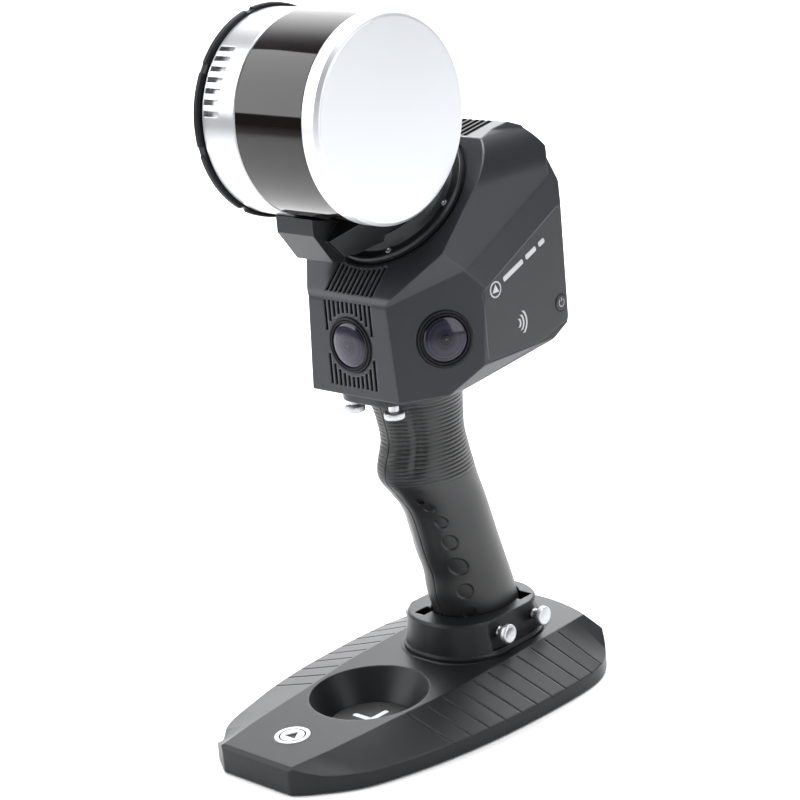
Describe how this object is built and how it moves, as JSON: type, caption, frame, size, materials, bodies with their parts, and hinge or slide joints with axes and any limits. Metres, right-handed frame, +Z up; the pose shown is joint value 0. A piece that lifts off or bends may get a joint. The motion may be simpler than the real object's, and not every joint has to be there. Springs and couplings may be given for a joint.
{
  "type": "handheld laser scanner with ground base",
  "caption": "Handheld mapping laser scanner: slanted rotating lidar head, camera housing and pistol grip, clamped upright in a detachable ground base plate with a centring well.",
  "frame": {"origin": "on the ground, under the middle of the centring well in the base plate", "axes": "+Z up, +X to the scanner's right, -Y to the front, where the narrow end of the base and the front camera face"},
  "size_m": [0.1444, 0.239, 0.3743],
  "materials": {
    "base_coat": "satin dark grey powder coat",
    "body_coat": "satin gunmetal",
    "panel_dark": "fine matt dark grey",
    "grip_plastic": "fine textured black",
    "grip_rubber": "soft black",
    "black_plastic": "black",
    "silver_metal": "bead blasted and clear anodised",
    "steel": "turned and brushed",
    "black_anodised": "black anodised",
    "head_grey": "satin dark grey",
    "window_black": "polished infrared-black",
    "lens_glass": "coated optical glass",
    "mark_white": "printed white",
    "mark_grey": "printed light grey",
    "circuit_green": "solder mask",
    "copper": "copper",
    "battery_wrap": "shrink wrap"
  },
  "bodies": {
    "base": {"base_plate": "base_coat", "base_foot_pads": "grip_rubber", "well_floor_disc": "black_plastic", "target_cross": "mark_white", "base_badge": "mark_white", "collar": "base_coat", "collar_fixing_screws": "steel"},
    "collar_screw_front_right": {"collar_thumb_screw_front_right": "silver_metal"},
    "collar_screw_rear_right": {"collar_thumb_screw_rear_right": "silver_metal"},
    "collar_screw_front_left": {"collar_thumb_screw_front_left": "silver_metal"},
    "collar_screw_rear_left": {"collar_thumb_screw_rear_left": "silver_metal"},
    "scanner": {"handle_shell_left": "grip_plastic", "handle_shell_right": "grip_plastic", "handle_back_strap": "grip_rubber", "handle_shell_screws": "steel", "battery_pack": "battery_wrap", "handle_end_cap": "black_plastic", "mount_plate": "body_coat", "main_housing": "body_coat", "bottom_cover": "black_plastic", "rear_cover": "panel_dark", "rear_connector_shell": "steel", "rear_connector_insert": "black_plastic", "top_heat_sink": "black_anodised", "side_panel_left": "panel_dark", "side_panel_right": "panel_dark", "side_markings": "mark_grey", "camera_front_barrel": "black_anodised", "camera_right_barrel": "black_anodised", "camera_left_barrel": "black_anodised", "camera_front_lens": "lens_glass", "camera_right_lens": "lens_glass", "camera_left_lens": "lens_glass", "camera_boards": "circuit_green", "vent_screen": "black_plastic", "housing_screws": "steel", "main_board": "circuit_green", "inertial_unit": "black_anodised", "contactless_coil": "copper", "fan_frame": "black_plastic", "bearing_outer_ring": "steel", "bearing_balls": "steel", "head_motor_stator": "copper", "slip_ring": "black_plastic"},
    "mount_screw_left": {"mount_thumb_screw_left": "silver_metal"},
    "mount_screw_right": {"mount_thumb_screw_right": "silver_metal"},
    "power_key": {"power_button": "panel_dark"},
    "fan": {"fan_rotor": "black_plastic"},
    "head": {"turntable_disc": "head_grey", "turntable_screws": "steel", "bearing_inner_ring": "steel", "head_motor_rotor": "steel", "head_bracket": "head_grey", "lidar_back_plate": "black_anodised", "lidar_base_band": "silver_metal", "lidar_window": "window_black", "lidar_cap": "silver_metal"},
    "lidar_spinner": {"lidar_rotor": "black_anodised", "lidar_optics": "black_plastic"}
  },
  "joints": [
    {"name": "scanner_lift", "type": "slide", "parent": "base", "child": "scanner", "axis": [0, -0.2672, 0.9636], "range_m": [0, 0.06]},
    {"name": "head_turn", "type": "hinge", "parent": "scanner", "child": "head", "pos_m": [0, 0.0551, 0.2714], "axis": [0, -0.7071, 0.7071], "continuous": true},
    {"name": "lidar_spin", "type": "hinge", "parent": "head", "child": "lidar_spinner", "pos_m": [0, 0.0153, 0.3207], "axis": [1, 0, 0], "continuous": true},
    {"name": "fan_spin", "type": "hinge", "parent": "scanner", "child": "fan", "pos_m": [0, 0.0402, 0.222], "axis": [0, 1, 0], "continuous": true},
    {"name": "power_press", "type": "slide", "parent": "scanner", "child": "power_key", "axis": [-1, 0, 0], "range_m": [0, 0.0012], "stiffness_N_per_m": 400},
    {"name": "collar_screw_front_right_out", "type": "slide", "parent": "base", "child": "collar_screw_front_right", "axis": [1, 0, 0], "range_m": [0, 0.006]},
    {"name": "collar_screw_rear_right_out", "type": "slide", "parent": "base", "child": "collar_screw_rear_right", "axis": [1, 0, 0], "range_m": [0, 0.006]},
    {"name": "collar_screw_front_left_out", "type": "slide", "parent": "base", "child": "collar_screw_front_left", "axis": [-1, 0, 0], "range_m": [0, 0.006]},
    {"name": "collar_screw_rear_left_out", "type": "slide", "parent": "base", "child": "collar_screw_rear_left", "axis": [-1, 0, 0], "range_m": [0, 0.006]},
    {"name": "mount_screw_left_out", "type": "slide", "parent": "scanner", "child": "mount_screw_left", "axis": [0, 0, -1], "range_m": [0, 0.006]},
    {"name": "mount_screw_right_out", "type": "slide", "parent": "scanner", "child": "mount_screw_right", "axis": [0, 0, -1], "range_m": [0, 0.006]}
  ]
}
